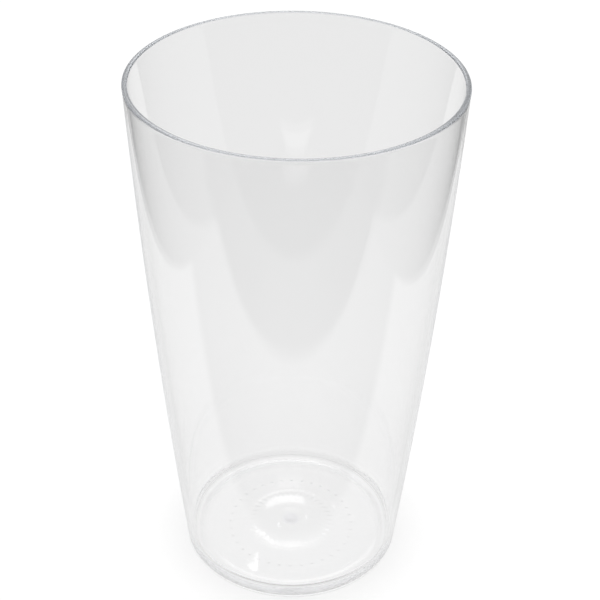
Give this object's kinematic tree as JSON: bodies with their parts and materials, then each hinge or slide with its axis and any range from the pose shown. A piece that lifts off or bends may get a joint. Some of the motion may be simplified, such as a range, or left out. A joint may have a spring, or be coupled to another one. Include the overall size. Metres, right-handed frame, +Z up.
{
  "type": "mixing glass",
  "caption": "Tall tapered mixing glass in clear plastic with a gently bowed thin wall, flat lip, rounded inner corner, low domed floor and shallow recess underneath.",
  "frame": {"origin": "centre of the plane that the standing ring rests on", "axes": "+Z up along the axis of symmetry, from the standing plane to the lip; X and Y are any two level directions, because the glass is round"},
  "size_m": [0.088, 0.088, 0.152],
  "materials": {
    "clear_plastic": "polished clear"
  },
  "bodies": {
    "root": {"rim_lip": "clear_plastic", "side_wall": "clear_plastic", "corner_ring": "clear_plastic", "base_floor": "clear_plastic", "standing_ring": "clear_plastic", "gate_nub": "clear_plastic", "floor_dots": "clear_plastic"}
  },
  "joints": []
}
